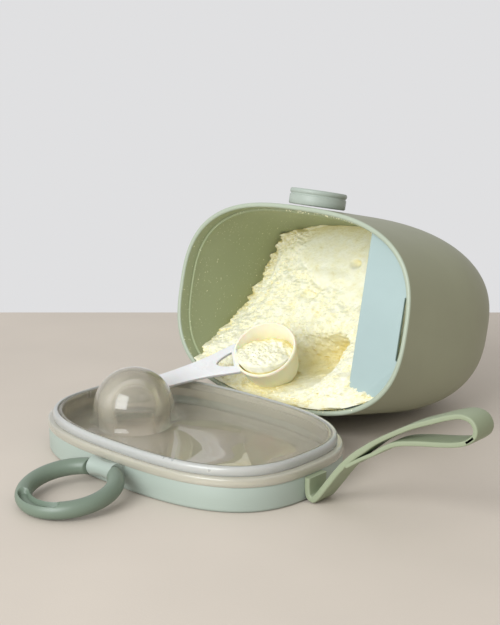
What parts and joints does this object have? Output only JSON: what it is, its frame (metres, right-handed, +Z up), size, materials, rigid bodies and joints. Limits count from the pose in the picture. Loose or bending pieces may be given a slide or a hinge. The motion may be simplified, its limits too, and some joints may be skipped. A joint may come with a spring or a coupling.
{
  "type": "formula dispenser",
  "caption": "Oval formula powder tub on its side with a hinged clear-topped lid, pull ring, carry strap, leveller and scoop.",
  "frame": {"origin": "bottom centre of the box round the whole open set, on the surface that it rests on", "axes": "+X along the lid towards the strap, +Y from the open lid to the tub, +Z up"},
  "size_m": [0.2182, 0.2524, 0.1115],
  "materials": {
    "tub": "satin moulded",
    "knob": "satin moulded",
    "leveller": "satin moulded",
    "powder": "granular powder",
    "steel": "drawn pin",
    "band": "satin moulded",
    "clear": "clear polished",
    "silicone": "milky silicone",
    "ring": "satin moulded",
    "strap": "matt silicone",
    "scoop_white": "moulded gloss"
  },
  "bodies": {
    "container": {"container_shell": "tub", "latch_knob": "knob", "leveller_plate": "leveller", "powder_bed": "powder", "lid_hinge_pin": "steel"},
    "lid": {"lid_shell": "band", "window_tray": "clear", "lid_seal": "silicone", "ring_bracket": "band", "ring_pin": "steel", "strap_root": "strap", "strap_stud": "strap"},
    "ring": {"pull_ring": "ring"},
    "strap": {"strap_loop": "strap"},
    "scoop": {"scoop": "scoop_white", "scoop_powder": "powder"}
  },
  "joints": [
    {"name": "lid_hinge", "type": "hinge", "parent": "container", "child": "lid", "pos_m": [-0.03948, 0.01299, 0.01111], "axis": [-1, 0, 0], "range_deg": [0, 102.22]},
    {"name": "ring_swing", "type": "hinge", "parent": "lid", "child": "ring", "pos_m": [-0.03948, -0.08596, 0.00901], "axis": [-1, 0, 0], "range_deg": [-20, 93.5]},
    {"name": "strap_flex", "type": "hinge", "parent": "lid", "child": "strap", "pos_m": [0.03402, -0.03516, 0.00131], "axis": [0, 1, 0], "range_deg": [-22, 28], "stiffness_Nm_per_rad": 0.12},
    {"name": "scoop_lift", "type": "slide", "parent": "container", "child": "scoop", "axis": [0, -0.2501, 0.9682], "range_m": [0, 0.2]}
  ],
  "couplings": [
    {"joint": "scoop_lift", "follows": "lid_hinge", "m_per_rad": 0.11209}
  ]
}
